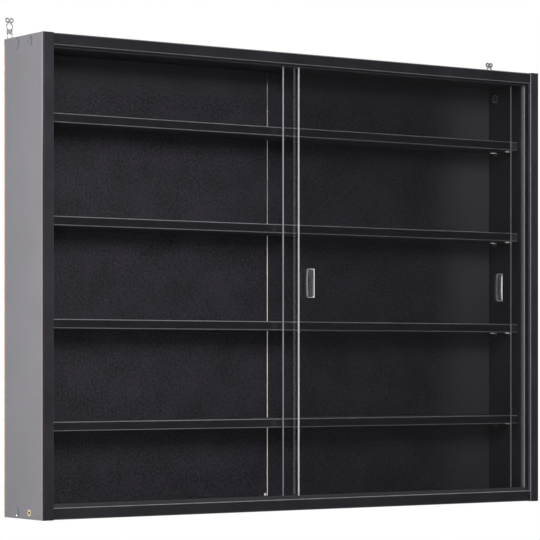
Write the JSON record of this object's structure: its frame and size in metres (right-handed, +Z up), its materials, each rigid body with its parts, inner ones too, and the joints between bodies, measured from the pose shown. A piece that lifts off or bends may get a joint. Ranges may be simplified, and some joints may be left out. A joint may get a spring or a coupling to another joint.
{
  "type": "display cabinet",
  "caption": "Shallow wall-hung display cabinet with shelves behind two panes that slide past each other in double channels.",
  "frame": {"origin": "centre of the bounding box in X and Y, at the lower ends of the side panels", "axes": "+X across the front to the viewer's right, +Y from the front to the wall, +Z up"},
  "size_m": [0.8008, 0.1024, 0.6278],
  "materials": {
    "black_board": "particle board faced with fine-textured black melamine, raw at the rear edges",
    "black_edging": "black edging with rounded, polished arrises",
    "back_hardboard": "hardboard, black lacquered in front, raw brown behind and on its edges",
    "bright_steel": "bright nails",
    "channel_plastic": "black extruded plastic",
    "clear_glass": "clear float glass with ground arrises",
    "clear_plastic": "clear moulded acrylic",
    "yellow_zinc": "yellow passivated zinc",
    "cap_film": "thin black adhesive film",
    "hanger_zinc": "bright zinc plated steel",
    "dark_nut": "dark plastic coated cross nut",
    "support_nickel": "nickel plated steel"
  },
  "bodies": {
    "cabinet": {"side_panel_left": "black_board", "side_panel_right": "black_board", "top_panel": "black_board", "bottom_panel": "black_board", "edge_band_left": "black_edging", "edge_band_right": "black_edging", "edge_band_top": "black_edging", "edge_band_bottom": "black_edging", "back_panel_left": "back_hardboard", "back_panel_right": "back_hardboard", "back_nails": "bright_steel", "top_track": "channel_plastic", "bottom_track": "channel_plastic", "carcass_screws_left": "yellow_zinc", "carcass_screws_right": "yellow_zinc", "cover_caps_left": "cap_film", "cover_caps_right": "cap_film", "hanger_plate_left": "hanger_zinc", "hanger_plate_right": "hanger_zinc", "hanger_bolt_left": "hanger_zinc", "hanger_bolt_right": "hanger_zinc", "hanger_nut_left": "dark_nut", "hanger_nut_right": "dark_nut", "shelf_1": "black_board", "shelf_1_edge_band": "black_edging", "shelf_1_supports": "support_nickel", "shelf_2": "black_board", "shelf_2_edge_band": "black_edging", "shelf_2_supports": "support_nickel", "shelf_3": "black_board", "shelf_3_edge_band": "black_edging", "shelf_3_supports": "support_nickel", "shelf_4": "black_board", "shelf_4_edge_band": "black_edging", "shelf_4_supports": "support_nickel"},
    "left_door": {"door_glass_left": "clear_glass", "finger_pull_left": "clear_plastic"},
    "right_door": {"door_glass_right": "clear_glass", "finger_pull_right": "clear_plastic"}
  },
  "joints": [
    {"name": "left_door_slide", "type": "slide", "parent": "cabinet", "child": "left_door", "axis": [1, 0, 0], "range_m": [-0.3777, 0.001]},
    {"name": "right_door_slide", "type": "slide", "parent": "cabinet", "child": "right_door", "axis": [1, 0, 0], "range_m": [-0.3571, 0.0216]}
  ]
}
